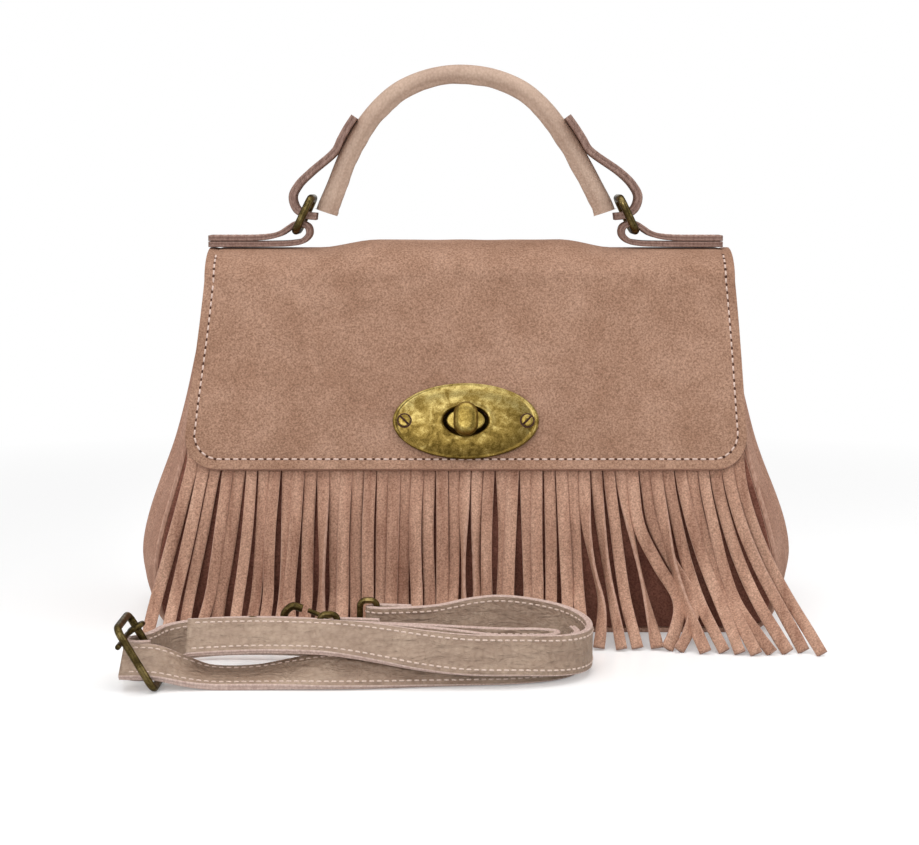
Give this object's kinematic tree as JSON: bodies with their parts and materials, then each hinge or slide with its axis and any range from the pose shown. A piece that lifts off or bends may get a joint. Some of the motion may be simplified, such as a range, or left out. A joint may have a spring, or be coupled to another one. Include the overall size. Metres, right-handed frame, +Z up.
{
  "type": "fringed handbag",
  "caption": "Soft suede handbag with a front flap, oval turn lock, hanging fringe, arched top handle on rings and a folded detachable shoulder strap.",
  "frame": {"origin": "middle of the base, on the surface that the bag stands on", "axes": "+Z up, +X to the right seen from the front, the flap and fringe face -Y"},
  "size_m": [0.3381, 0.2428, 0.2806],
  "materials": {
    "suede": "matte",
    "fringe_suede": "matte",
    "handle_leather": "satin",
    "strap_leather": "satin",
    "brass": "satin",
    "lining": "matte",
    "board": "matte"
  },
  "bodies": {
    "root": {"gusset": "suede", "front_panel": "suede", "back_panel": "suede", "base_board": "board", "lining": "lining", "flap": "suede", "fringe": "fringe_suede", "lock_plate": "brass", "lock_screw_left": "brass", "lock_screw_right": "brass", "lock_backing_plate": "brass", "lock_base": "brass", "lock_washer": "brass", "anchor_left": "suede", "anchor_right": "suede", "strap_long": "strap_leather", "strap_tail": "strap_leather", "strap_short": "strap_leather", "buckle_frame": "brass", "back_hook_eye": "brass", "front_hook_eye": "brass"},
    "turn_knob": {"turn_knob": "brass"},
    "ring_left": {"ring_left": "brass"},
    "ring_right": {"ring_right": "brass"},
    "handle": {"handle": "handle_leather", "handle_tab_left": "suede", "handle_tab_right": "suede"},
    "buckle_prong": {"buckle_prong": "brass"},
    "back_hook": {"back_hook_body": "brass"},
    "back_gate": {"back_hook_gate": "brass"},
    "front_hook": {"front_hook_body": "brass"},
    "front_gate": {"front_hook_gate": "brass"}
  },
  "joints": [
    {"name": "knob_turn", "type": "hinge", "parent": "root", "child": "turn_knob", "pos_m": [0, -0.05123, 0.104], "axis": [0, -0.954, 0.2997], "range_deg": [0, 90]},
    {"name": "ring_left_swing", "type": "hinge", "parent": "root", "child": "ring_left", "pos_m": [-0.0864, 0, 0.1966], "axis": [0, 1, 0], "range_deg": [-7, 7]},
    {"name": "handle_swing", "type": "hinge", "parent": "ring_left", "child": "handle", "pos_m": [-0.0785, 0, 0.213], "axis": [0, 1, 0], "range_deg": [-8, 8]},
    {"name": "ring_right_swing", "type": "hinge", "parent": "root", "child": "ring_right", "pos_m": [0.0864, 0, 0.1966], "axis": [0, 1, 0], "range_deg": [-7, 7]},
    {"name": "prong_swing", "type": "hinge", "parent": "root", "child": "buckle_prong", "pos_m": [-0.144, -0.147, 0.01528], "axis": [-0.5, 0, 0.866], "range_deg": [-100, 0]},
    {"name": "back_hook_swivel", "type": "hinge", "parent": "root", "child": "back_hook", "pos_m": [-0.046, -0.104, 0.0141], "axis": [1, 0, 0], "continuous": true},
    {"name": "back_gate_open", "type": "hinge", "parent": "back_hook", "child": "back_gate", "pos_m": [-0.0605, -0.104, 0.0153], "axis": [0, 1, 0], "range_deg": [-22, 0], "stiffness_Nm_per_rad": 0.02, "springref_deg": 20.05},
    {"name": "front_hook_swivel", "type": "hinge", "parent": "root", "child": "front_hook", "pos_m": [-0.063, -0.13, 0.0133], "axis": [1, 0, 0], "continuous": true},
    {"name": "front_gate_open", "type": "hinge", "parent": "front_hook", "child": "front_gate", "pos_m": [-0.0775, -0.13, 0.0145], "axis": [0, 1, 0], "range_deg": [-22, 0], "stiffness_Nm_per_rad": 0.02, "springref_deg": 20.05}
  ],
  "couplings": [
    {"joint": "handle_swing", "follows": "ring_left_swing", "ratio": -1.1006},
    {"joint": "ring_right_swing", "follows": "ring_left_swing", "ratio": 1}
  ]
}
